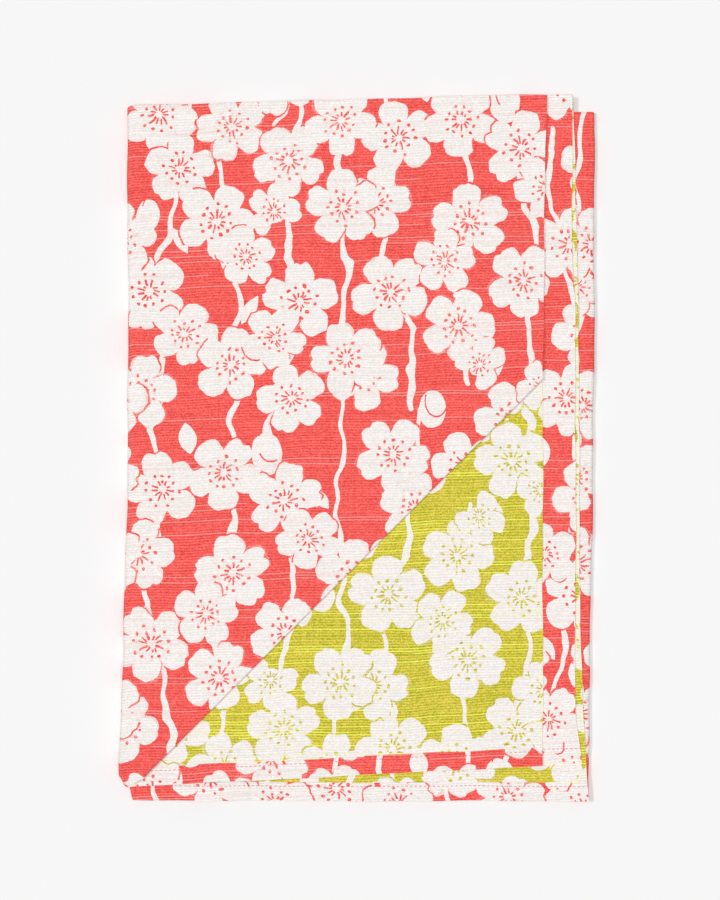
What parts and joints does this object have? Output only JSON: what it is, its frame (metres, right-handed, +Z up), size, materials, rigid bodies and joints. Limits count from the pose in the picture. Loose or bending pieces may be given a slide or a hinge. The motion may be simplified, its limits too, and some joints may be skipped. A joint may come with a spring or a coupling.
{
  "type": "folded furoshiki",
  "caption": "Square wrapping cloth of printed cotton, folded flat into a tall packet with one corner of the top layer turned under.",
  "frame": {"origin": "bottom centre of the packet, on the surface it lies on", "axes": "+Z up from the surface, +Y towards the top fold, +X towards the free side edges"},
  "size_m": [0.265, 0.394, 0.0118],
  "materials": {
    "printed_cotton": "slubbed plain-weave cotton printed with blossoms, coral on the outer face and yellow-green on the inner face"
  },
  "bodies": {
    "root": {"folded_cloth": "printed_cotton"}
  },
  "joints": []
}
